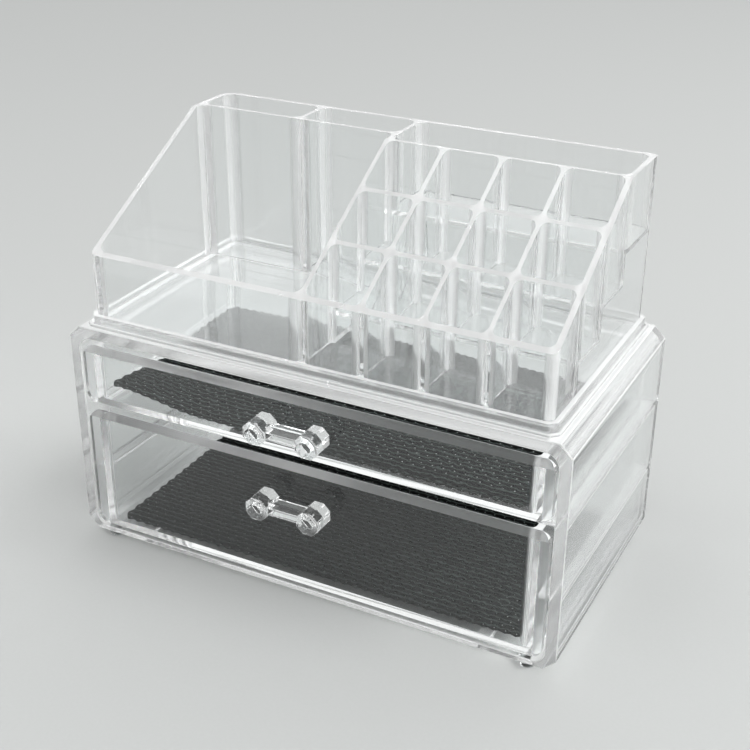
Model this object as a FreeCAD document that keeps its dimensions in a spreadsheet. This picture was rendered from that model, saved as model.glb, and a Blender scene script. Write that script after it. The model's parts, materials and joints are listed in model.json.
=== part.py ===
# Clear storage case for make-up: a two-drawer case with a divided tray standing on it
# Frame: millimetres, +Z up, +X to the right as seen from the front, -Y towards the user
# The origin is under the middle of the whole object, on the plane that the feet stand on
import FreeCAD, Part
import math
import os
import Sketcher

# Driving dimensions, in millimetres
DRIVING = {
    # Drawer case
    "case_width": 238.0,
    "case_depth": 124.6,
    "case_height": 106.3,
    "case_wall": 5.4,
    "case_floor": 2.6,
    "case_back": 2.6,
    "corner_cut": 5.4,
    "rear_cut": 2.0,
    "bay_round": 6.0,
    # Rails moulded into the case
    "ledge_height": 69.6,
    "ledge_thick": 2.6,
    "ledge_reach": 8.5,
    "guide_height": 33.0,
    "guide_thick": 2.0,
    "guide_gap": 0.5,
    "runner_height": 2.0,
    "runner_width": 6.0,
    "runner_spread": 172.0,
    # Feet
    "foot_width": 8.0,
    "foot_height": 3.0,
    "foot_round": 2.2,
    "foot_side_inset": 13.5,
    "foot_end_inset": 4.2,
    # Drawers
    "drawer_side_gap": 5.7,
    "drawer_wall": 3.0,
    "drawer_floor": 2.2,
    "drawer_round": 4.0,
    "drawer_back_gap": 4.0,
    "panel_thick": 3.0,
    "panel_gap": 1.3,
    "panel_round": 4.8,
    "panel_bevel": 2.8,
    "upper_headroom": 3.8,
    "lower_headroom": 2.6,
    "stop_gap": 0.4,
    # Handles
    "knob_width": 10.6,
    "knob_reach": 12.8,
    "knob_bevel": 2.0,
    "knob_pitch": 25.2,
    "bar_setback": 1.2,
    "bar_depth": 8.6,
    "bar_height": 6.6,
    "bar_cut": 2.0,
    "handle_offset": 3.6,
    "upper_handle_shift": -1.35,
    "lower_handle_shift": 10.4,
    # Mats
    "mat_thick": 1.2,
    "mat_gap": 1.5,
    # Tray
    "tray_height": 79.2,
    "tray_side_setback": 11.0,
    "tray_setback": 5.6,
    "tray_wall": 2.4,
    "tray_floor": 2.0,
    "tray_raise": 2.2,
    "tray_front_round": 3.0,
    "tray_left_round": 7.0,
    "tray_right_round": 2.6,
    "front_height": 33.2,
    "left_slope_margin": 4.4,
    "skirt_height": 5.0,
    "skirt_out": 2.0,
    "skirt_cut": 3.2,
    "rim_gap": 0.4,
    "rim_wall": 1.2,
    "rim_height": 1.4,
    # Stepped grid and rooms in the tray
    "divider": 1.8,
    "cell_width": 25.5,
    "cell_depth": 24.0,
    "cell_round": 3.0,
    "step_rise": 14.4,
    "room_round": 4.6,
    "rear_room_depth": 21.2,
    "left_room_width": 51.7,
}
CELL_COLUMNS = 4
CELL_ROWS = 3
FLAT = 1e-4
# Share of an octagon's width that each cut corner takes
OCTAGON_CUT = 1 - math.sqrt(0.5)


class Size:
    """A length with its value now and the sheet expression that keeps it up to date."""

    def __init__(self, value, text):
        self.value = value
        self.text = text

    def _join(self, other, sign, value):
        tail = other.text if isinstance(other, Size) else repr(other)
        return Size(value, "(%s %s %s)" % (self.text, sign, tail))

    def __add__(self, other):
        return self._join(other, "+", self.value + number(other))

    def __sub__(self, other):
        return self._join(other, "-", self.value - number(other))

    def __mul__(self, other):
        return self._join(other, "*", self.value * number(other))

    def __truediv__(self, other):
        return self._join(other, "/", self.value / number(other))

    def __neg__(self):
        return self * -1.0


def number(size):
    return size.value if isinstance(size, Size) else size


doc = FreeCAD.newDocument("storage_case")
sheet = doc.addObject("Spreadsheet::Sheet", "dims")
for row, (alias, length) in enumerate(DRIVING.items(), start=1):
    sheet.set("A%d" % row, str(length))
    sheet.setAlias("A%d" % row, alias)
doc.recompute()


def size(alias):
    return Size(DRIVING[alias], "dims." + alias)


# Helpers that make bound features
def bind(feature, name, length):
    feature.setExpression(name, length.text)


def new_body(label):
    body = doc.addObject("PartDesign::Body", label)
    body.Label = label
    return body


def new_sketch(body, role, offset):
    """A sketch parallel to an origin plane, offset along that plane's own normal."""
    sketch = body.newObject("Sketcher::SketchObject", "sketch")
    plane = next(item for item in body.Origin.OriginFeatures if item.Role == role)
    sketch.AttachmentSupport = [(plane, "")]
    sketch.MapMode = "FlatFace"
    bind(sketch, "AttachmentOffset.Base.z", offset)
    return sketch


def level_sketch(body, height):
    return new_sketch(body, "XY_Plane", height)


def front_sketch(body, depth):
    """A sketch in X and Z whose plane stands at this Y; its normal points to the user."""
    return new_sketch(body, "XZ_Plane", -depth)


def side_sketch(body, across):
    """A sketch in Y and Z whose plane stands at this X."""
    return new_sketch(body, "YZ_Plane", across)


def pin_point(sketch, geometry, end, place):
    """Fix a point of the sketch at distances from the sketch's own origin."""
    for kind, length in place.items():
        index = sketch.addConstraint(Sketcher.Constraint(kind, -1, 1, geometry, end, length.value))
        bind(sketch, "Constraints[%d]" % index, length)


def vector(point):
    return FreeCAD.Vector(point[0].value, point[1].value, 0)


def polygon(sketch, points):
    first = sketch.GeometryCount
    count = len(points)
    for index, point in enumerate(points):
        following = points[(index + 1) % count]
        sketch.addGeometry(Part.LineSegment(vector(point), vector(following)), False)
    for index in range(count):
        ends = (first + index, 2, first + (index + 1) % count, 1)
        sketch.addConstraint(Sketcher.Constraint("Coincident", *ends))
    for index, (across, up) in enumerate(points):
        pin_point(sketch, first + index, 1, {"DistanceX": across, "DistanceY": up})


def rectangle(sketch, left, right, low, high):
    polygon(sketch, [(left, low), (right, low), (right, high), (left, high)])


def cut_rectangle(sketch, left, right, low, high, cut):
    """A rectangle with its four corners cut off at 45 degrees."""
    polygon(sketch, [
        (left + cut, low), (right - cut, low), (right, low + cut), (right, high - cut),
        (right - cut, high), (left + cut, high), (left, high - cut), (left, low + cut),
    ])


def round_rectangle(sketch, left, right, low, high, *rounds):
    """A rectangle with rounded corners: one radius, or four that start at the low left and go round."""
    first_round, second_round, third_round, last_round = rounds if len(rounds) == 4 else rounds * 4
    centres = [
        (left + first_round, low + first_round, first_round),
        (right - second_round, low + second_round, second_round),
        (right - third_round, high - third_round, third_round),
        (left + last_round, high - last_round, last_round),
    ]
    first = sketch.GeometryCount
    for quarter, (across, up, radius) in enumerate(centres):
        start = math.pi + quarter * math.pi / 2
        circle = Part.Circle(vector((across, up)), FreeCAD.Vector(0, 0, 1), radius.value)
        sketch.addGeometry(Part.ArcOfCircle(circle, start, start + math.pi / 2), False)
    for quarter in range(4):
        end = sketch.getPoint(first + quarter, 2)
        start = sketch.getPoint(first + (quarter + 1) % 4, 1)
        line = sketch.addGeometry(Part.LineSegment(end, start), False)
        sketch.addConstraint(Sketcher.Constraint("Tangent", first + quarter, 2, line, 1))
        sketch.addConstraint(Sketcher.Constraint("Tangent", line, 2, first + (quarter + 1) % 4, 1))
        direction = "Horizontal" if quarter % 2 == 0 else "Vertical"
        sketch.addConstraint(Sketcher.Constraint(direction, line))
    for quarter, (across, up, _) in enumerate(centres):
        place = {"DistanceX": across, "DistanceY": up}
        if quarter == 3:
            place.pop("DistanceX")
        pin_point(sketch, first + quarter, 3, place)
    index = sketch.addConstraint(Sketcher.Constraint("Radius", first, first_round.value))
    bind(sketch, "Constraints[%d]" % index, first_round)


def round_outline(sketch, across, up, radius):
    circle = Part.Circle(vector((across, up)), FreeCAD.Vector(0, 0, 1), radius.value)
    geometry = sketch.addGeometry(circle, False)
    pin_point(sketch, geometry, 3, {"DistanceX": across, "DistanceY": up})
    index = sketch.addConstraint(Sketcher.Constraint("Radius", geometry, radius.value))
    bind(sketch, "Constraints[%d]" % index, radius)


def pad(body, sketch, length, reverse=False, middle=False):
    feature = body.newObject("PartDesign::Pad", "pad")
    feature.Profile = sketch
    feature.Reversed = reverse
    feature.Midplane = middle
    bind(feature, "Length", length)
    doc.recompute()
    return feature


def pocket(body, sketch, length, reverse=False):
    before = body.Shape.Volume
    feature = body.newObject("PartDesign::Pocket", "pocket")
    feature.Profile = sketch
    feature.Reversed = reverse
    bind(feature, "Length", length)
    doc.recompute()
    if body.Shape.Volume >= before:
        raise RuntimeError("a pocket of %s cuts nothing" % body.Label)
    return feature


def chamfer(body, base, edges, cut):
    feature = body.newObject("PartDesign::Chamfer", "chamfer")
    feature.Base = (base, edges)
    bind(feature, "Size", cut)
    doc.recompute()
    return feature


def named_edges(feature):
    return [("Edge%d" % index, edge) for index, edge in enumerate(feature.Shape.Edges, start=1)]


def edges_at_depth(feature, depth):
    """Names of the edges that lie in the plane at this Y."""
    names = []
    for name, edge in named_edges(feature):
        box = edge.BoundBox
        if max(abs(box.YMin - depth.value), abs(box.YMax - depth.value)) < FLAT:
            names.append(name)
    return names


# Places shared by several pieces
case_front = (size("knob_reach") - size("case_depth")) / 2
case_rear = case_front + size("case_depth")
case_low = size("foot_height")
case_top = case_low + size("case_height")
half_case = size("case_width") / 2
half_bay = half_case - size("case_wall")
bay_low = case_low + size("case_floor")
bay_top = case_top - size("case_wall")
ledge_top = case_low + size("ledge_height")
ledge_low = ledge_top - size("ledge_thick")
rail_front = case_front + size("panel_thick") + size("stop_gap")
inner_rear = case_rear - size("case_back")
half_drawer = half_bay - size("drawer_side_gap")
half_panel = half_bay - size("panel_gap")
drawer_rear = inner_rear - size("drawer_back_gap")
runner_top = bay_low + size("runner_height")

half_tray = half_case - size("tray_side_setback")
tray_front = case_front + size("tray_setback")
tray_rear = case_rear - size("tray_setback")
tray_top = case_top + size("tray_height")
skirt_front = tray_front - size("skirt_out")
skirt_rear = tray_rear + size("skirt_out")
half_skirt = half_tray + size("skirt_out")


# The case: an octagonal sleeve with a closed back, rails inside and a low rim on top
def make_case():
    body = new_body("case_shell")
    sketch = front_sketch(body, case_front)
    cut_rectangle(sketch, -half_case, half_case, case_low, case_top, size("corner_cut"))
    sleeve = pad(body, sketch, size("case_depth"), reverse=True)
    chamfer(body, sleeve, edges_at_depth(sleeve, case_rear), size("rear_cut"))

    sketch = front_sketch(body, case_front)
    round_rectangle(sketch, -half_bay, half_bay, bay_low, bay_top, size("bay_round"))
    pocket(body, sketch, size("case_depth") - size("case_back"))

    sketch = front_sketch(body, rail_front)
    ledge_tip = half_bay - size("ledge_reach")
    guide_tip = half_drawer + size("guide_gap")
    guide_low = case_low + size("guide_height")
    runner_in = (size("runner_spread") - size("runner_width")) / 2
    runner_out = runner_in + size("runner_width")
    for near, far, low, high in (
        (ledge_tip, half_bay, ledge_low, ledge_top),
        (guide_tip, half_bay, guide_low, guide_low + size("guide_thick")),
        (runner_in, runner_out, bay_low, runner_top),
    ):
        rectangle(sketch, near, far, low, high)
        rectangle(sketch, -far, -near, low, high)
    pad(body, sketch, inner_rear - rail_front, reverse=True)

    sketch = level_sketch(body, case_top)
    inner = size("rim_gap")
    outer = inner + size("rim_wall")
    for step in (outer, inner):
        cut_rectangle(sketch, -half_skirt - step, half_skirt + step, skirt_front - step,
                      skirt_rear + step, size("skirt_cut"))
    pad(body, sketch, size("rim_height"))
    return body


def make_foot(label, across, depth):
    body = new_body(label)
    sketch = level_sketch(body, Size(0.0, "0"))
    round_outline(sketch, across, depth, size("foot_width") / 2)
    disc = pad(body, sketch, size("foot_height"))
    names = [name for name, edge in named_edges(disc) if edge.BoundBox.ZMax < FLAT]
    feature = body.newObject("PartDesign::Fillet", "fillet")
    feature.Base = (disc, names)
    bind(feature, "Radius", size("foot_round"))
    doc.recompute()
    return body


def make_feet():
    across = half_case - size("foot_side_inset")
    ends = {"front": case_front + size("foot_end_inset"), "rear": case_rear - size("foot_end_inset")}
    sides = {"left": -across, "right": across}
    return [
        make_foot("foot_%s_%s" % (end, side), place, depth)
        for end, depth in ends.items()
        for side, place in sides.items()
    ]


# A drawer: an open box behind a wider front panel
def make_drawer(label, low, high):
    body = new_body(label)
    sketch = level_sketch(body, low)
    round_rectangle(sketch, -half_drawer, half_drawer, case_front, drawer_rear, size("drawer_round"))
    pad(body, sketch, high - low)

    sketch = front_sketch(body, case_front)
    round_rectangle(sketch, -half_panel, half_panel, low, high, size("panel_round"))
    pad(body, sketch, size("panel_thick"), reverse=True)

    sketch = side_sketch(body, -half_panel)
    bevel = size("panel_bevel")
    polygon(sketch, [(case_front, high - bevel), (case_front + bevel, high), (case_front, high)])
    pocket(body, sketch, half_panel * 2, reverse=True)

    sketch = level_sketch(body, high)
    wall = size("drawer_wall")
    corner = size("drawer_round") - wall / 2
    round_rectangle(sketch, wall - half_drawer, half_drawer - wall, case_front + size("panel_thick"),
                    drawer_rear - wall, corner)
    pocket(body, sketch, high - low - size("drawer_floor"))
    return body


# A handle: two bevelled eight-sided knobs joined by a bar with cut edges
def make_handle(label, middle):
    body = new_body(label)
    centre = -size("handle_offset")
    half = size("knob_width") / 2
    corner = size("knob_width") * OCTAGON_CUT
    sketch = front_sketch(body, case_front)
    for place in (centre - size("knob_pitch") / 2, centre + size("knob_pitch") / 2):
        cut_rectangle(sketch, place - half, place + half, middle - half, middle + half, corner)
    knobs = pad(body, sketch, size("knob_reach"))
    knob_front = case_front - size("knob_reach")
    chamfer(body, knobs, edges_at_depth(knobs, knob_front), size("knob_bevel"))

    sketch = side_sketch(body, centre)
    bar_rear = case_front - size("bar_setback")
    half_bar = size("bar_height") / 2
    cut_rectangle(sketch, bar_rear - size("bar_depth"), bar_rear, middle - half_bar,
                  middle + half_bar, size("bar_cut"))
    pad(body, sketch, size("knob_pitch"), middle=True)
    return body


def make_mat(label, floor):
    mat = doc.addObject("Part::Box", label)
    mat.Label = label
    edge = size("drawer_wall") + size("mat_gap")
    front = case_front + size("panel_thick") + size("mat_gap")
    bind(mat, "Length", (half_drawer - edge) * 2)
    bind(mat, "Width", drawer_rear - edge - front)
    bind(mat, "Height", size("mat_thick"))
    bind(mat, "Placement.Base.x", edge - half_drawer)
    bind(mat, "Placement.Base.y", front)
    bind(mat, "Placement.Base.z", floor)
    return mat


# The tray: outer walls with slanted tops, rooms at the left and rear, a stepped grid at the right
def make_tray():
    body = new_body("tray_moulding")
    wall = size("tray_wall")
    left_in = wall - half_tray
    right_in = half_tray - wall
    front_in = tray_front + wall
    rear_in = tray_rear - wall
    floor = case_top + size("tray_raise") + size("tray_floor")
    column = size("cell_width") + size("divider")
    line = size("cell_depth") + size("divider")
    grid_left = right_in - column * CELL_COLUMNS + size("divider")
    grid_rear = front_in + line * CELL_ROWS - size("divider")
    room_right = grid_left - size("divider")
    partition_rear = rear_in - size("rear_room_depth")
    partition_front = partition_rear - size("divider")

    sketch = level_sketch(body, case_top)
    front_corner = size("tray_front_round")
    round_rectangle(sketch, -half_tray, half_tray, tray_front, tray_rear, front_corner, front_corner,
                    size("tray_right_round"), size("tray_left_round"))
    pad(body, sketch, size("tray_height"))
    sketch = level_sketch(body, case_top)
    cut_rectangle(sketch, -half_skirt, half_skirt, skirt_front, skirt_rear, size("skirt_cut"))
    pad(body, sketch, size("skirt_height"))

    # Slanted tops, one slope over the open room at the left and one over the grid
    low_edge = case_top + size("front_height")
    for start, stop, run_end in (
        (-half_skirt, room_right, partition_front - size("left_slope_margin")),
        (room_right, half_skirt, grid_rear),
    ):
        sketch = side_sketch(body, start)
        polygon(sketch, [(skirt_front, low_edge), (tray_front, low_edge), (run_end, tray_top),
                         (skirt_front, tray_top)])
        pocket(body, sketch, stop - start, reverse=True)

    # Open room at the left and two tall rooms behind it
    corner = size("room_round")
    left_room = left_in + size("left_room_width")
    sketch = level_sketch(body, tray_top)
    round_rectangle(sketch, left_in, room_right, front_in, partition_front, corner)
    round_rectangle(sketch, left_in, left_room, partition_rear, rear_in, corner)
    round_rectangle(sketch, left_room + size("divider"), room_right, partition_rear, rear_in, corner)
    pocket(body, sketch, tray_top - floor)

    # Rows of cells, each row a step higher, and the raised room behind them
    for step in range(CELL_ROWS):
        row_front = front_in + line * step
        sketch = level_sketch(body, tray_top)
        for place in range(CELL_COLUMNS):
            cell_left = grid_left + column * place
            round_rectangle(sketch, cell_left, cell_left + size("cell_width"), row_front,
                            row_front + size("cell_depth"), size("cell_round"))
        pocket(body, sketch, tray_top - floor - size("step_rise") * step)
    sketch = level_sketch(body, tray_top)
    rear_room = grid_rear + size("divider")
    round_rectangle(sketch, grid_left, right_in, rear_room, rear_in, corner)
    pocket(body, sketch, tray_top - floor - size("step_rise") * CELL_ROWS)

    # Hollows under the steps, open below, and the recess that lifts the floor off the case
    for step in range(1, CELL_ROWS + 1):
        row_front = front_in + line * step
        row_rear = rear_in if step == CELL_ROWS else row_front + line
        sketch = level_sketch(body, case_top)
        rectangle(sketch, grid_left, right_in, row_front, row_rear)
        pocket(body, sketch, size("tray_raise") + size("step_rise") * step, reverse=True)
    sketch = level_sketch(body, case_top)
    rectangle(sketch, left_in, right_in, front_in, rear_in)
    pocket(body, sketch, size("tray_raise"), reverse=True)
    return split_tray(body, room_right)


def split_tray(whole, seam):
    """The moulding as two solids that meet face to face beside the grid, each of a simple form."""
    halves = []
    for label, start, stop in (("tray_rooms", -half_skirt, seam), ("tray_grid", seam, half_skirt)):
        block = doc.addObject("Part::Box", label + "_block")
        bind(block, "Length", stop - start)
        bind(block, "Width", skirt_rear - skirt_front)
        bind(block, "Height", size("tray_height"))
        bind(block, "Placement.Base.x", start)
        bind(block, "Placement.Base.y", skirt_front)
        bind(block, "Placement.Base.z", case_top)
        half = doc.addObject("Part::Common", label)
        half.Label = label
        half.Base = whole
        half.Tool = block
        halves.append(half)
    return halves


upper_top = bay_top - size("upper_headroom")
lower_top = ledge_low - size("lower_headroom")
pieces = [
    make_case(),
    *make_feet(),
    make_drawer("upper_drawer", ledge_top, upper_top),
    make_drawer("lower_drawer", runner_top, lower_top),
    make_handle("upper_handle", (ledge_top + upper_top) / 2 + size("upper_handle_shift")),
    make_handle("lower_handle", (runner_top + lower_top) / 2 + size("lower_handle_shift")),
    make_mat("upper_mat", ledge_top + size("drawer_floor")),
    make_mat("lower_mat", runner_top + size("drawer_floor")),
    *make_tray(),
]
doc.recompute()

# Every object is sound before anything is written
for item in doc.Objects:
    if "Invalid" in item.State or "Error" in item.State:
        raise RuntimeError("%s failed to rebuild" % item.Name)
for piece in pieces:
    if piece.Shape.isNull() or not piece.Shape.isValid() or len(piece.Shape.Solids) != 1:
        raise RuntimeError("%s is not one sound solid" % piece.Label)

os.makedirs("parts", exist_ok=True)
for piece in pieces:
    piece.Shape.exportStep("parts/%s.step" % piece.Label)
    print(piece.Label, round(piece.Shape.Volume / 1000, 1), "cm3")
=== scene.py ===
"""Looks of the clear make-up storage case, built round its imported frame."""
import json
import math

import bpy
from bpy.props import FloatProperty, FloatVectorProperty, IntProperty, PointerProperty
from mathutils import Matrix, Vector

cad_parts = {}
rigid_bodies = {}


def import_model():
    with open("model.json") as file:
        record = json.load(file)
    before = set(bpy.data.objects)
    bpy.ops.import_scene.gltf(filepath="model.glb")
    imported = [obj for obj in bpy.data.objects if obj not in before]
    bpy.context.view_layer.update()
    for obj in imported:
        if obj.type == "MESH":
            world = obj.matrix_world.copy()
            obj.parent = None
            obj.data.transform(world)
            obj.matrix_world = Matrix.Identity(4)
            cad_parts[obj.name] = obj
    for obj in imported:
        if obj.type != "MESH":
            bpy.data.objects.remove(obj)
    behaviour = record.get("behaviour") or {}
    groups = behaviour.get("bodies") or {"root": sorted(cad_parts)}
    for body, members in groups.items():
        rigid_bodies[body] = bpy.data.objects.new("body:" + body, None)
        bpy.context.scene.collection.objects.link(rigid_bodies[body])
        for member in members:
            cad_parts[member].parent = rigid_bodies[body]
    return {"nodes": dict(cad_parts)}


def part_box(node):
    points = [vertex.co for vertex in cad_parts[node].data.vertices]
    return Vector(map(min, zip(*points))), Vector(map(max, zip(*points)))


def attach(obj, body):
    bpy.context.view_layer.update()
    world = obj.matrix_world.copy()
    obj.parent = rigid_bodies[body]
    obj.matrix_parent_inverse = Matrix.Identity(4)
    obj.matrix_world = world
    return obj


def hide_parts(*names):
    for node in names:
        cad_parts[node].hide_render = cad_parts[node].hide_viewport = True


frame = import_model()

bl_info = {
    "name": "Clear storage case",
    "version": (1, 0, 0),
    "blender": (4, 5, 0),
    "location": "View3D > Sidebar > Storage case",
    "description": "Finishes the clear case, its drawers, handles, mats and tray, and lights them",
    "category": "Object",
}

MM = 0.001
MERGE_DISTANCE = 0.001 * MM
PLANE_TOLERANCE = 0.01 * MM
SAME_PLANE = math.radians(0.5)
SMOOTH_ANGLE = math.radians(32)
AXIS_Y, AXIS_Z = 1, 2
# Part of a unit normal along an axis over which a face counts as square to that axis
STRAIGHT = 0.995
# Upward part of a unit normal over which a narrow face counts as a rim
UPWARD = 0.5
BEVEL_SEGMENTS = 2
# Share of the curl's reach, round the corner, that lifts in full
CURL_CORE = 1 / 8
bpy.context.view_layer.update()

# The plastic's own colour, and the light that each skin lets through to a shadow
CLEAR = "#fdfefe"
PASSING = "#fefefe"
# Fine structure of the materials
WAVE_HEIGHT = 1 * MM
WAVE_STRENGTH = 0.01
HAZE_LENGTH = 9 * MM
HAZE_START, HAZE_FULL = 0.45, 0.75
CLOUD_LENGTH = 2 * MM
PORE_LENGTH = 0.8 * MM
PORE_DEPTH = 0.2 * MM
PORE_STRENGTH = 0.5
# Wave level over which the mat's painted highlights begin
CREST_HIGHLIGHT_START = 0.75
TOOTH_LENGTH = 1.5 * MM
SILICONE_INDEX = 1.41
PVC_INDEX = 1.53
# Radians that a wave texture runs through in a metre at scale 1
WAVE_RADIANS = 20
# Sockets of a colour mix: its two colours and its result
MIX_FIRST, MIX_SECOND, MIX_RESULT = 6, 7, 2

# Studio, in metres
FLOOR_SIZE = 8
FLOOR_CELLS = 8
KEY_PLACE, KEY_SIZE = (2.0, 0.2, 1.5), (1.6, 1.6)
FILL_PLACE, FILL_SIZE = (-0.78, -0.6, 1.0), (0.5, 0.6)
CLIP_START = 10 * MM
# The studio's level at the floor line, and the height of a direction from which it is full
HORIZON_LEVEL = 0.6
HORIZON_TOP = 0.35
# The studio's level on its dim side and on its bright side
DIM_LEVEL, BRIGHT_LEVEL = 0.75, 1.25


class PlasticSettings(bpy.types.PropertyGroup):
    """Sizes and optics of the clear mouldings."""

    edge_radius: FloatProperty(
        name="Edge radius", description="Rounding on the mouldings' edges", default=0.45 * MM, unit="LENGTH")
    facet_radius: FloatProperty(
        name="Facet radius", description="Rounding on the handles' edges", default=0.2 * MM, unit="LENGTH")
    seat_gap: FloatProperty(
        name="Seat gap", description="Air between two pieces that stand on each other",
        default=0.08 * MM, unit="LENGTH")
    wave_length: FloatProperty(
        name="Wave length", description="Length of the flow waves in the walls", default=30 * MM,
        unit="LENGTH")
    # On the case and the tray these narrow faces also get painted light that makes them paler
    soft_width: FloatProperty(
        name="Soft width", description="Faces up to this width have a softer gloss", default=8 * MM,
        unit="LENGTH")
    # Rims get a painted highlight
    rim_width: FloatProperty(
        name="Rim width", description="Faces up to this width are rims", default=3.2 * MM, unit="LENGTH")
    index: FloatProperty(name="Index", description="Index of refraction", default=1.5)


class MatSettings(bpy.types.PropertyGroup):
    """Sizes of the black net mats and how they lie."""

    pitch_across: FloatProperty(
        name="Pitch across", description="Width of a mesh of the net", default=5.0 * MM, unit="LENGTH")
    pitch_deep: FloatProperty(
        name="Pitch in depth", description="Depth of a mesh of the net", default=6.4 * MM, unit="LENGTH")
    strand: FloatProperty(
        name="Strand", description="Width of a strand", default=3.4 * MM, unit="LENGTH")
    relief: FloatProperty(
        name="Relief", description="Height of the knots over the strands", default=0.35 * MM, unit="LENGTH")
    curl: FloatProperty(
        name="Curl", description="Lift of the upper mat's front left corner", default=5 * MM, unit="LENGTH")
    curl_reach: FloatProperty(
        name="Curl reach", description="How far the curl runs from the corner", default=48 * MM,
        unit="LENGTH")
    turn: FloatProperty(
        name="Turn", description="How far the lower mat lies askew", default=math.radians(0.6),
        unit="ROTATION")
    shift: FloatProperty(
        name="Shift", description="How far the upper mat has slid to the left", default=1.2 * MM,
        unit="LENGTH")


class StudioSettings(bpy.types.PropertyGroup):
    """Camera, floor and lights."""

    azimuth: FloatProperty(
        name="Azimuth", description="Camera's turn about the object", default=math.radians(27.11),
        unit="ROTATION")
    elevation: FloatProperty(
        name="Elevation", description="Camera's height over the horizon", default=math.radians(26.63),
        unit="ROTATION")
    roll: FloatProperty(
        name="Roll", description="Camera's turn about its own axis", default=math.radians(0.40),
        unit="ROTATION")
    place: FloatVectorProperty(
        name="Place", description="Where the camera stands", subtype="TRANSLATION",
        default=(0.2461, -0.4679, 0.3520))
    lens: FloatProperty(name="Lens", description="Focal length in millimetres", default=62.83)
    key: FloatProperty(name="Key", description="Brightness of the softbox at the right", default=6.0)
    fill: FloatProperty(name="Fill", description="Brightness of the softbox at the front left", default=2.2)
    sky: FloatProperty(name="Sky", description="Brightness of the studio overhead", default=0.9)
    bright_side: FloatVectorProperty(
        name="Bright side", description="Where the studio is brightest", subtype="DIRECTION",
        default=(-0.45, 0.89, 0.0))
    bounces: IntProperty(name="Bounces", description="Light bounces through the walls", default=128)


def linear(colour):
    """Linear RGBA of an sRGB hex colour such as '#a0b1c2'."""
    channels = []
    for start in (1, 3, 5):
        value = int(colour[start:start + 2], 16) / 255
        channels.append(value / 12.92 if value <= 0.04045 else ((value + 0.055) / 1.055) ** 2.4)
    return (*channels, 1.0)


def add_node(tree, kind, links=None, **settings):
    """Add a node; settings go to its properties or sockets, links feed its sockets."""
    node = tree.nodes.new(kind)
    for name, value in settings.items():
        if hasattr(node, name):
            setattr(node, name, value)
        else:
            node.inputs[name.replace("_", " ")].default_value = value
    for name, socket in (links or {}).items():
        tree.links.new(socket, node.inputs[name])
    return node


def new_material(name):
    """An empty node material of this name, and its node tree."""
    material = bpy.data.materials.new(name)
    material.use_nodes = True
    material.node_tree.nodes.clear()
    return material, material.node_tree


def mix_colours(tree, share, first, second):
    """A colour between two sRGB hex colours, as a socket."""
    mix = add_node(tree, "ShaderNodeMix", {"Factor": share}, data_type="RGBA")
    mix.inputs[MIX_FIRST].default_value = linear(first)
    mix.inputs[MIX_SECOND].default_value = linear(second)
    return mix.outputs[MIX_RESULT]


def clear_plastic(name, plastic, rough_low, rough_high, scatter):
    """Clear plastic with faint flow waves, an uneven gloss and a share of light scattered white at its skin:
    a little haze and scuffing on walls, painted highlights on rims, corners and frames.
    """
    material, tree = new_material(name)
    place = add_node(tree, "ShaderNodeTexCoord").outputs["Object"]
    waves = add_node(tree, "ShaderNodeTexNoise", {"Vector": place}, Scale=1 / plastic.wave_length, Detail=1.0)
    bump = add_node(
        tree, "ShaderNodeBump", {"Height": waves.outputs["Fac"]}, Strength=WAVE_STRENGTH,
        Distance=WAVE_HEIGHT)
    haze = add_node(tree, "ShaderNodeTexNoise", {"Vector": place}, Scale=1 / HAZE_LENGTH, Detail=4.0)
    rough = add_node(
        tree, "ShaderNodeMapRange", {"Value": haze.outputs["Fac"]}, From_Min=HAZE_START, From_Max=HAZE_FULL,
        To_Min=rough_low, To_Max=rough_high)
    wall = add_node(
        tree, "ShaderNodeBsdfPrincipled",
        {"Roughness": rough.outputs["Result"], "Normal": bump.outputs["Normal"]},
        Base_Color=linear(CLEAR), IOR=plastic.index, Transmission_Weight=1 - scatter)
    passing = add_node(tree, "ShaderNodeBsdfTransparent", Color=linear(PASSING))
    path = add_node(tree, "ShaderNodeLightPath")
    mixed = add_node(tree, "ShaderNodeMixShader", {
        0: path.outputs["Is Shadow Ray"], 1: wall.outputs["BSDF"], 2: passing.outputs["BSDF"]})
    add_node(tree, "ShaderNodeOutputMaterial", {"Surface": mixed.outputs["Shader"]})
    return material


# Clear polystyrene, injection moulded in a polished tool: glossy walls with a little handling haze
def polished_walls(plastic):
    return clear_plastic(
        "clear_polystyrene_polished", plastic, rough_low=0.0, rough_high=0.03, scatter=0.0)


# The same polystyrene on side walls, rubbed by the drawers' sliding: a light haze
def hazy_sides(plastic):
    return clear_plastic(
        "clear_polystyrene_hazy", plastic, rough_low=0.08, rough_high=0.12, scatter=0.015)


# The same polystyrene on the tray, which is handled more: fine scuffs scatter a little light
def scuffed_walls(plastic):
    return clear_plastic(
        "clear_polystyrene_scuffed", plastic, rough_low=0.0, rough_high=0.05, scatter=0.012)


# The same polystyrene on the drawers' bevels, where the tool's polish is coarser: a softer gloss
def soft_bevels(plastic):
    return clear_plastic(
        "clear_polystyrene_bevels", plastic, rough_low=0.32, rough_high=0.38, scatter=0.0)


# The same polystyrene on frames, chamfers and the tray's skirt: a softer gloss, and light scattered white at
# the skin as painted light that makes them paler than the walls
def painted_pale_frames(plastic):
    return clear_plastic(
        "clear_polystyrene_frames_painted_pale", plastic, rough_low=0.2, rough_high=0.26, scatter=0.2)


# The same polystyrene in upright rounded corners: light scattered white at the skin paints bright highlight
# bands down them
def painted_highlight_corners(plastic):
    return clear_plastic(
        "clear_polystyrene_corners_painted_highlight", plastic, rough_low=0.1, rough_high=0.2, scatter=0.28)


# The same polystyrene on rims and rounded edges: half the light scattered white at the skin is a painted
# highlight, so they read as white lines
def painted_highlight_rims(plastic):
    return clear_plastic(
        "clear_polystyrene_rims_painted_highlight", plastic, rough_low=0.15, rough_high=0.3, scatter=0.5)


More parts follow.
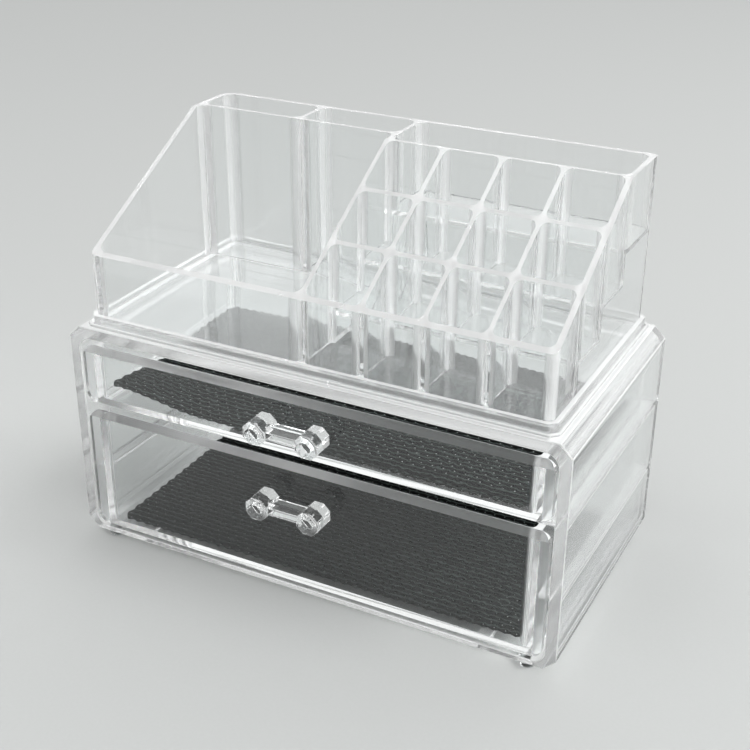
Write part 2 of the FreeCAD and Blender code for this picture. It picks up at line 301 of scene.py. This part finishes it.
# Clear silicone, cast as bumps: cloudier and softer in its gloss than the case
def clear_silicone():
    material, tree = new_material("clear_silicone_cast")
    place = add_node(tree, "ShaderNodeTexCoord").outputs["Object"]
    cloud = add_node(tree, "ShaderNodeTexNoise", {"Vector": place}, Scale=1 / CLOUD_LENGTH, Detail=2.0)
    rough = add_node(
        tree, "ShaderNodeMapRange", {"Value": cloud.outputs["Fac"]}, To_Min=0.12, To_Max=0.3)
    body = add_node(
        tree, "ShaderNodeBsdfPrincipled", {"Roughness": rough.outputs["Result"]},
        Base_Color=linear("#f4f6f6"), IOR=SILICONE_INDEX, Transmission_Weight=0.95)
    add_node(tree, "ShaderNodeOutputMaterial", {"Surface": body.outputs["BSDF"]})
    return material


# Foamed PVC on a knitted net: dull black with a pored skin, and painted highlights: a paler colour on the
# crest of each wavy row, where the strands would catch light
def black_foam_net(mats):
    material, tree = new_material("black_foamed_pvc_net")
    place = add_node(tree, "ShaderNodeTexCoord").outputs["Object"]
    pores = add_node(tree, "ShaderNodeTexNoise", {"Vector": place}, Scale=1 / PORE_LENGTH, Detail=3.0)
    bump = add_node(
        tree, "ShaderNodeBump", {"Height": pores.outputs["Fac"]}, Strength=PORE_STRENGTH, Distance=PORE_DEPTH)
    # Two rows of painted highlight lines to each mesh of the net in depth
    rows = add_node(
        tree, "ShaderNodeTexWave", {"Vector": place}, bands_direction="Y",
        Scale=2 * math.tau / (WAVE_RADIANS * mats.pitch_deep), Distortion=4.0, Detail=2.0, Detail_Scale=3.0)
    crest_highlights = add_node(
        tree, "ShaderNodeMapRange", {"Value": rows.outputs["Fac"]}, From_Min=CREST_HIGHLIGHT_START, From_Max=1.0)
    # Painted highlight: the tops of the waves are coloured paler than the black skin
    colour = mix_colours(tree, crest_highlights.outputs["Result"], "#050606", "#3a413f")
    rough = add_node(tree, "ShaderNodeMapRange", {"Value": pores.outputs["Fac"]}, To_Min=0.55, To_Max=0.85)
    skin = add_node(
        tree, "ShaderNodeBsdfPrincipled",
        {"Base Color": colour, "Roughness": rough.outputs["Result"], "Normal": bump.outputs["Normal"]},
        IOR=PVC_INDEX, Specular_IOR_Level=0.05)
    add_node(tree, "ShaderNodeOutputMaterial", {"Surface": skin.outputs["BSDF"]})
    return material


# Matt studio paper: pale grey with a faint tooth
def studio_paper():
    material, tree = new_material("grey_studio_paper")
    place = add_node(tree, "ShaderNodeTexCoord").outputs["Object"]
    tooth = add_node(tree, "ShaderNodeTexNoise", {"Vector": place}, Scale=1 / TOOTH_LENGTH, Detail=2.0)
    colour = mix_colours(tree, tooth.outputs["Fac"], "#b8bab9", "#bcbebd")
    sheet = add_node(
        tree, "ShaderNodeBsdfPrincipled", {"Base Color": colour}, Roughness=0.8, Specular_IOR_Level=0.2)
    add_node(tree, "ShaderNodeOutputMaterial", {"Surface": sheet.outputs["BSDF"]})
    return material


def shared_material(make, *settings):
    """The material that a function makes, made once."""
    key = make.__name__
    if key not in shared_material.made:
        shared_material.made[key] = make(*settings)
    return shared_material.made[key]


shared_material.made = {}


def pick(piece):
    """Make this the one selected and active object."""
    if bpy.context.mode != "OBJECT":
        bpy.ops.object.mode_set(mode="OBJECT")
    bpy.ops.object.select_all(action="DESELECT")
    piece.select_set(True)
    bpy.context.view_layer.objects.active = piece


def edit(piece, mode="VERT"):
    """Open the piece in edit mode with everything selected."""
    pick(piece)
    bpy.ops.object.mode_set(mode="EDIT")
    bpy.ops.mesh.select_mode(type=mode)
    bpy.ops.mesh.select_all(action="SELECT")


def choose(piece, mode, test):
    """Open the piece in edit mode with only the parts that pass the test selected."""
    edit(piece, mode)
    bpy.ops.mesh.select_all(action="DESELECT")
    bpy.ops.object.mode_set(mode="OBJECT")
    parts = {"VERT": piece.data.vertices, "EDGE": piece.data.edges, "FACE": piece.data.polygons}[mode]
    chosen = [test(part) for part in parts]
    parts.foreach_set("select", chosen)
    bpy.ops.object.mode_set(mode="EDIT")
    return sum(chosen)


def apply_modifier(piece, kind, **settings):
    """Add a modifier with these settings and apply it."""
    pick(piece)
    bpy.ops.object.modifier_add(type=kind)
    modifier = piece.modifiers[-1]
    for name, value in settings.items():
        setattr(modifier, name, value)
    bpy.ops.object.modifier_apply(modifier=modifier.name)


def copy_node(node, name):
    """A copy of a construction solid as a new piece of its own, with its double points merged."""
    pick(frame["nodes"][node])
    bpy.ops.object.duplicate()
    piece = bpy.context.object
    piece.name = name
    piece.data.name = name
    for key in [key for key in piece.keys() if key.startswith("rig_")]:
        del piece[key]
    bpy.ops.object.parent_clear(type="CLEAR")
    bpy.ops.mesh.customdata_custom_splitnormals_clear()
    edit(piece)
    bpy.ops.mesh.remove_doubles(threshold=MERGE_DISTANCE)
    bpy.ops.object.mode_set(mode="OBJECT")
    return piece


def shift_plane(piece, axis, place, shift):
    """Move the flat face at this place along its own axis, to leave air at a seat."""
    count = choose(piece, "VERT", lambda point: abs(point.co[axis] - place) < PLANE_TOLERANCE)
    if not count:
        raise RuntimeError("%s has no face at that place" % piece.name)
    move = [0.0, 0.0, 0.0]
    move[axis] = shift
    bpy.ops.transform.translate(value=move)
    bpy.ops.object.mode_set(mode="OBJECT")


def mean_width(piece, face):
    """Width of a long face: twice its area over its outline."""
    corners = [piece.data.vertices[index].co for index in face.vertices]
    outline = sum((start - end).length for start, end in zip(corners, corners[1:] + corners[:1]))
    return 2 * face.area / outline


def is_flat(face):
    """Whether the face is square to an axis or at half a right angle to two, so not part of a rounding."""
    low, middle, high = sorted(abs(part) for part in face.normal)
    return high > STRAIGHT or (low < 1 - STRAIGHT and high - middle < 1 - STRAIGHT)


def dress(piece, *materials):
    """Give the piece these materials, one to a slot."""
    piece.data.materials.clear()
    for material in materials:
        piece.data.materials.append(material)


def flatten(piece):
    """Join the triangles of each flat face."""
    edit(piece)
    bpy.ops.mesh.dissolve_limited(angle_limit=SAME_PLANE)
    bpy.ops.object.mode_set(mode="OBJECT")


def round_edges(piece, radius, slot=0):
    """Round the sharp edges, in this material slot, and shade the rest smooth."""
    pick(piece)
    bpy.ops.object.shade_smooth_by_angle(angle=SMOOTH_ANGLE)
    apply_modifier(
        piece, "BEVEL", width=radius, segments=BEVEL_SEGMENTS, limit_method="ANGLE",
        angle_limit=SMOOTH_ANGLE, harden_normals=True, use_clamp_overlap=True, material=slot)
    apply_modifier(piece, "TRIANGULATE", keep_custom_normals=True)


def mould(piece, plastic, walls, sides, frames):
    """Give the walls, side walls, frames, upper rims and corners each their gloss, and round the edges; rims,
    rounded edges, corners and the case's and tray's frames get painted highlights.
    """
    makers = (walls, sides, frames, painted_highlight_rims, painted_highlight_corners)
    dress(piece, *(shared_material(make, plastic) for make in makers))
    flatten(piece)
    tests = (
        lambda face, width: abs(face.normal.x) > STRAIGHT,
        lambda face, width: is_flat(face) and width < plastic.soft_width,
        lambda face, width: face.normal.z > UPWARD and width < plastic.rim_width,
        lambda face, width: (
            abs(face.normal.z) < 1 - STRAIGHT and not is_flat(face) and width < plastic.rim_width),
    )
    for slot, fits in enumerate(tests, 1):
        choose(piece, "FACE", lambda face: fits(face, mean_width(piece, face)))
        piece.active_material_index = slot
        bpy.ops.object.material_slot_assign()
    bpy.ops.object.mode_set(mode="OBJECT")
    # The rounded edges take the rims' material, with its painted highlight
    round_edges(piece, plastic.edge_radius, slot=makers.index(painted_highlight_rims))


def finish_piece(piece, body, slot, *nodes):
    """Set the body that the piece rides on and the nodes that it stands for; the slot is not used."""
    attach(piece, body)
    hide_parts(*nodes)


class CaseShell(bpy.types.Operator):
    """Finish the clear case with rounded moulded edges"""

    bl_idname = "storagecase.case_shell"
    bl_label = "Case shell"

    def execute(self, context):
        plastic = context.scene.storage_plastic
        piece = copy_node("case_shell", "case_shell_moulding")
        mould(piece, plastic, polished_walls, hazy_sides, painted_pale_frames)
        finish_piece(piece, "case", "clear_plastic", "case_shell")
        return {"FINISHED"}


class Feet(bpy.types.Operator):
    """Finish the soft feet under the case"""

    bl_idname = "storagecase.feet"
    bl_label = "Feet"

    def execute(self, context):
        gap = context.scene.storage_plastic.seat_gap
        for node in [name for name in frame["nodes"] if name.startswith("foot_")]:
            piece = copy_node(node, node + "_bump")
            shift_plane(piece, AXIS_Z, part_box(node)[1].z, -gap)
            bpy.ops.object.shade_smooth_by_angle(angle=SMOOTH_ANGLE)
            dress(piece, shared_material(clear_silicone))
            finish_piece(piece, "case", "clear_foot", node)
        return {"FINISHED"}


class Drawers(bpy.types.Operator):
    """Finish both clear drawers"""

    bl_idname = "storagecase.drawers"
    bl_label = "Drawers"

    def execute(self, context):
        plastic = context.scene.storage_plastic
        for node in ("upper_drawer", "lower_drawer"):
            piece = copy_node(node, node + "_moulding")
            shift_plane(piece, AXIS_Z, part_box(node)[0].z, plastic.seat_gap)
            mould(piece, plastic, polished_walls, hazy_sides, soft_bevels)
            finish_piece(piece, node + "_unit", "clear_plastic", node)
        return {"FINISHED"}


class Handles(bpy.types.Operator):
    """Finish both faceted handles"""

    bl_idname = "storagecase.handles"
    bl_label = "Handles"

    def execute(self, context):
        plastic = context.scene.storage_plastic
        for level in ("upper", "lower"):
            node = level + "_handle"
            piece = copy_node(node, node + "_facets")
            shift_plane(piece, AXIS_Y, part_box(node)[1].y, -plastic.seat_gap)
            dress(piece, shared_material(polished_walls, plastic))
            flatten(piece)
            round_edges(piece, plastic.facet_radius)
            finish_piece(piece, level + "_drawer_unit", "clear_handle", node)
        return {"FINISHED"}


class Tray(bpy.types.Operator):
    """Fuse the two halves of the tray into the one moulding that it is"""

    bl_idname = "storagecase.tray"
    bl_label = "Tray"

    def execute(self, context):
        plastic = context.scene.storage_plastic
        piece = copy_node("tray_rooms", "tray_moulding")
        other = copy_node("tray_grid", "tray_other_half")
        apply_modifier(piece, "BOOLEAN", operation="UNION", solver="EXACT", object=other)
        pick(other)
        bpy.ops.object.delete()
        shift_plane(piece, AXIS_Z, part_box("tray_rooms")[0].z, plastic.seat_gap)
        mould(piece, plastic, scuffed_walls, scuffed_walls, painted_pale_frames)
        finish_piece(piece, "tray_unit", "clear_plastic", "tray_rooms", "tray_grid")
        return {"FINISHED"}


def diamond_net(name, node, mats):
    """A flat diamond lattice with toothed edges over the mat's place, as strands with holes between."""
    low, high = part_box(node)
    width = high.x - low.x
    length = high.y - low.y
    columns = round(width / mats.pitch_across)
    rows = round(length / mats.pitch_deep)
    bpy.ops.object.select_all(action="DESELECT")
    bpy.ops.mesh.primitive_grid_add(x_subdivisions=columns, y_subdivisions=rows, size=1)
    piece = bpy.context.object
    piece.name = name
    piece.data.name = name
    edit(piece)
    bpy.ops.transform.resize(value=(width, length, 1))
    bpy.ops.transform.translate(value=(low + high) / 2)
    bpy.ops.object.mode_set(mode="OBJECT")
    corners = len(piece.data.vertices)
    edit(piece, "FACE")
    bpy.ops.mesh.poke()
    for knot, lift in ((True, mats.relief), (False, -mats.relief)):
        choose(piece, "VERT", lambda point: (point.index < corners) == knot)
        bpy.ops.transform.translate(value=(0, 0, lift))
    choose(piece, "EDGE", lambda edge: max(edge.vertices) < corners)
    bpy.ops.mesh.dissolve_edges(use_verts=False)
    # The half meshes along the edges go, which leaves the teeth
    choose(piece, "FACE", lambda face: len(face.vertices) == 3)
    bpy.ops.mesh.delete(type="FACE")
    edit(piece, "FACE")
    bpy.ops.mesh.inset(thickness=mats.strand / 2, use_individual=True, use_even_offset=True)
    bpy.ops.mesh.delete(type="FACE")
    bpy.ops.object.mode_set(mode="OBJECT")
    return piece


def curl_corner(piece, corner, lift, reach):
    """Lift the mat's corner and let the lift fade away over the reach."""
    choose(piece, "VERT", lambda point: (point.co - corner).length < reach * CURL_CORE)
    bpy.ops.transform.translate(
        value=(0, 0, lift), use_proportional_edit=True, proportional_edit_falloff="SMOOTH",
        proportional_size=reach)
    bpy.ops.object.mode_set(mode="OBJECT")


class Mats(bpy.types.Operator):
    """Make the black net mats that lie in the drawers"""

    bl_idname = "storagecase.mats"
    bl_label = "Mats"

    def execute(self, context):
        mats = context.scene.storage_mats
        for level in ("upper", "lower"):
            node = level + "_mat"
            low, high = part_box(node)
            piece = diamond_net(node + "_net", node, mats)
            if level == "upper":
                curl_corner(piece, Vector((low.x, low.y, high.z)), mats.curl, mats.curl_reach)
                edit(piece)
                bpy.ops.transform.translate(value=(-mats.shift, 0, 0))
            else:
                edit(piece)
                bpy.ops.transform.rotate(value=-mats.turn, orient_axis="Z", center_override=(low + high) / 2)
            bpy.ops.object.mode_set(mode="OBJECT")
            apply_modifier(piece, "SOLIDIFY", thickness=high.z - low.z - 2 * mats.relief, offset=0)
            apply_modifier(piece, "SUBSURF", levels=1, render_levels=1)
            bpy.ops.object.shade_smooth()
            dress(piece, shared_material(black_foam_net, mats))
            finish_piece(piece, level + "_drawer_unit", "black_mesh", node)
        return {"FINISHED"}


def add_softbox(name, place, size, brightness):
    """A rectangular light at this place that faces the object."""
    turn = (-Vector(place)).to_track_quat("-Z", "Y").to_euler()
    bpy.ops.object.light_add(type="AREA", location=place, rotation=turn)
    light = bpy.context.object
    light.name = name
    light.data.shape = "RECTANGLE"
    light.data.size, light.data.size_y = size
    light.data.energy = brightness * math.pi * size[0] * size[1]


def add_sky(scene, studio):
    """A soft white studio: bright overhead and behind, greyer towards the floor line and the camera."""
    world = bpy.data.worlds.new("studio")
    world.use_nodes = True
    tree = world.node_tree
    tree.nodes.clear()
    place = add_node(tree, "ShaderNodeTexCoord").outputs["Generated"]
    height = add_node(tree, "ShaderNodeSeparateXYZ", {"Vector": place}).outputs["Z"]
    level = add_node(
        tree, "ShaderNodeMapRange", {"Value": height}, From_Min=0.0, From_Max=HORIZON_TOP,
        To_Min=HORIZON_LEVEL, To_Max=1.0)
    facing = add_node(tree, "ShaderNodeVectorMath", {0: place}, operation="DOT_PRODUCT")
    facing.inputs[1].default_value = studio.bright_side
    side = add_node(
        tree, "ShaderNodeMapRange", {"Value": facing.outputs["Value"]}, From_Min=-1.0, From_Max=1.0,
        To_Min=DIM_LEVEL, To_Max=BRIGHT_LEVEL)
    both = add_node(
        tree, "ShaderNodeMath", {0: level.outputs["Result"], 1: side.outputs["Result"]}, operation="MULTIPLY")
    light = add_node(tree, "ShaderNodeBackground", {"Color": both.outputs["Value"]}, Strength=studio.sky)
    add_node(tree, "ShaderNodeOutputWorld", {"Surface": light.outputs["Background"]})
    world.cycles.sampling_method = "NONE"
    scene.world = world


def add_camera(scene, studio):
    """A camera at the studio's place, turned by its three angles."""
    azimuth = studio.azimuth
    elevation = studio.elevation
    level = math.cos(elevation)
    back = Vector((math.sin(azimuth) * level, -math.cos(azimuth) * level, math.sin(elevation)))
    right = Vector((math.cos(azimuth), math.sin(azimuth), 0))
    turn = Matrix.Rotation(studio.roll, 3, back)
    axes = Matrix((turn @ right, turn @ back.cross(right), back)).transposed()
    bpy.ops.object.camera_add(location=studio.place, rotation=axes.to_euler())
    camera = bpy.context.object
    camera.data.lens = studio.lens
    camera.data.clip_start = CLIP_START
    scene.camera = camera


class Stage(bpy.types.Operator):
    """Lay the floor, light it and stand the camera at the photo's angle"""

    bl_idname = "storagecase.stage"
    bl_label = "Stage"

    def execute(self, context):
        scene = context.scene
        studio = scene.storage_studio
        bpy.ops.object.select_all(action="DESELECT")
        bpy.ops.mesh.primitive_grid_add(
            x_subdivisions=FLOOR_CELLS, y_subdivisions=FLOOR_CELLS, size=FLOOR_SIZE)
        floor = context.object
        floor.name = "floor"
        floor.data.materials.append(shared_material(studio_paper))
        add_softbox("key_softbox", KEY_PLACE, KEY_SIZE, studio.key)
        add_softbox("fill_softbox", FILL_PLACE, FILL_SIZE, studio.fill)
        add_sky(scene, studio)
        add_camera(scene, studio)
        scene.view_settings.view_transform = "Standard"
        scene.cycles.max_bounces = studio.bounces
        scene.cycles.transmission_bounces = studio.bounces
        scene.cycles.glossy_bounces = studio.bounces
        scene.cycles.transparent_max_bounces = studio.bounces
        scene.cycles.caustics_reflective = False
        scene.cycles.caustics_refractive = True
        scene.cycles.use_denoising = True
        return {"FINISHED"}


class StoragePanel(bpy.types.Panel):
    """The storage case's settings and steps"""

    bl_idname = "VIEW3D_PT_storage_case"
    bl_label = "Storage case"
    bl_space_type = "VIEW_3D"
    bl_region_type = "UI"
    bl_category = "Storage case"

    def draw(self, context):
        for group in SETTINGS:
            settings = getattr(context.scene, group)
            box = self.layout.box()
            for name in settings.__annotations__:
                box.prop(settings, name)
        for step in STEPS:
            self.layout.operator(step.bl_idname)


SETTINGS = {
    "storage_plastic": PlasticSettings,
    "storage_mats": MatSettings,
    "storage_studio": StudioSettings,
}
STEPS = (CaseShell, Feet, Drawers, Handles, Mats, Tray, Stage)
CLASSES = (*SETTINGS.values(), *STEPS, StoragePanel)


def register():
    for item in CLASSES:
        bpy.utils.register_class(item)
    for name, group in SETTINGS.items():
        setattr(bpy.types.Scene, name, PointerProperty(type=group))


def unregister():
    for name in SETTINGS:
        delattr(bpy.types.Scene, name)
    for item in reversed(CLASSES):
        bpy.utils.unregister_class(item)


def main():
    register()
    for step in STEPS:
        group, name = step.bl_idname.split(".")
        getattr(getattr(bpy.ops, group), name)()


if __name__ == "__main__":
    main()
